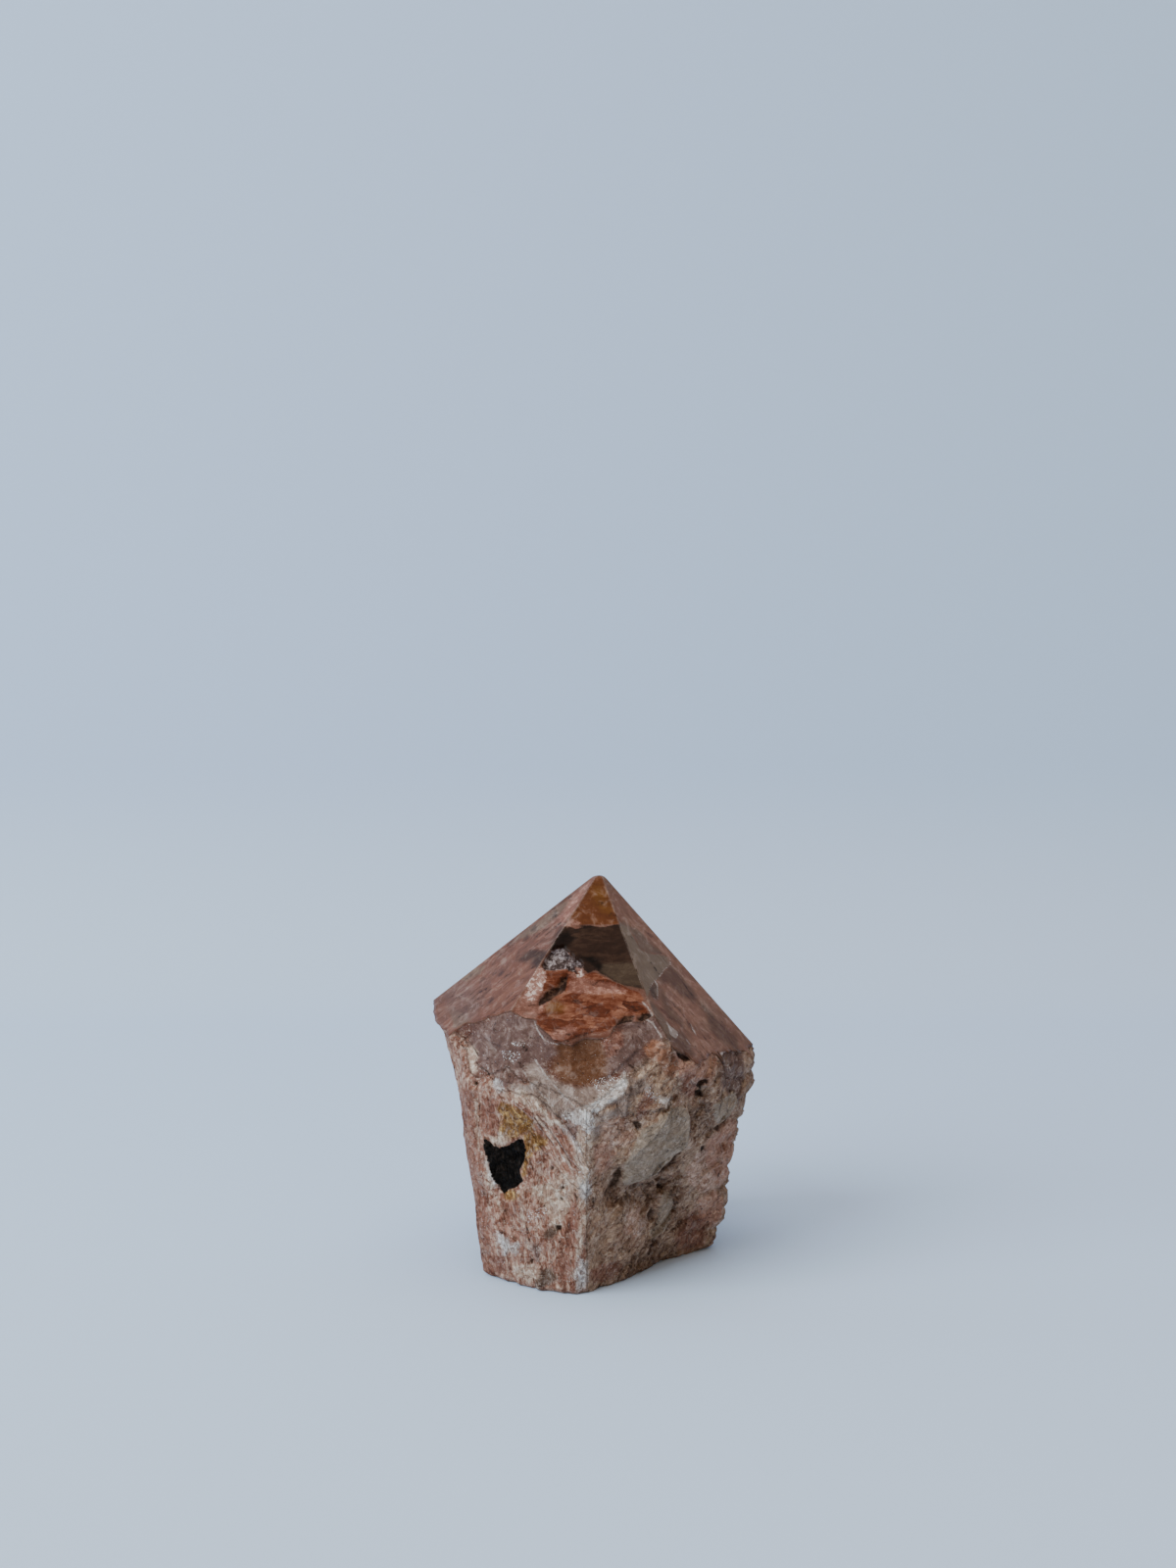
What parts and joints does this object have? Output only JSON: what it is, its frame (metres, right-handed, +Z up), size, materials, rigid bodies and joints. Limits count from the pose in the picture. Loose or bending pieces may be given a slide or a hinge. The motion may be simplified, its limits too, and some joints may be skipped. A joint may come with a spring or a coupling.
{
  "type": "rough moonstone with a polished tip",
  "caption": "Rough block of pink and orange moonstone with quartz and black mica, ground to a faceted, polished tip and a flat foot to stand on.",
  "frame": {"origin": "middle of the stone's bounding box at the height of its flat foot", "axes": "+Z up towards the polished tip, -Y towards the front ridge and the smoky face, +X to the stone's right as seen from the front"},
  "size_m": [0.0494, 0.045, 0.0592],
  "materials": {
    "moonstone": "polished faces on the tip, rough broken mineral surface on the sides and back, sawn and ground flat underneath"
  },
  "bodies": {
    "root": {"moonstone": "moonstone"}
  },
  "joints": []
}
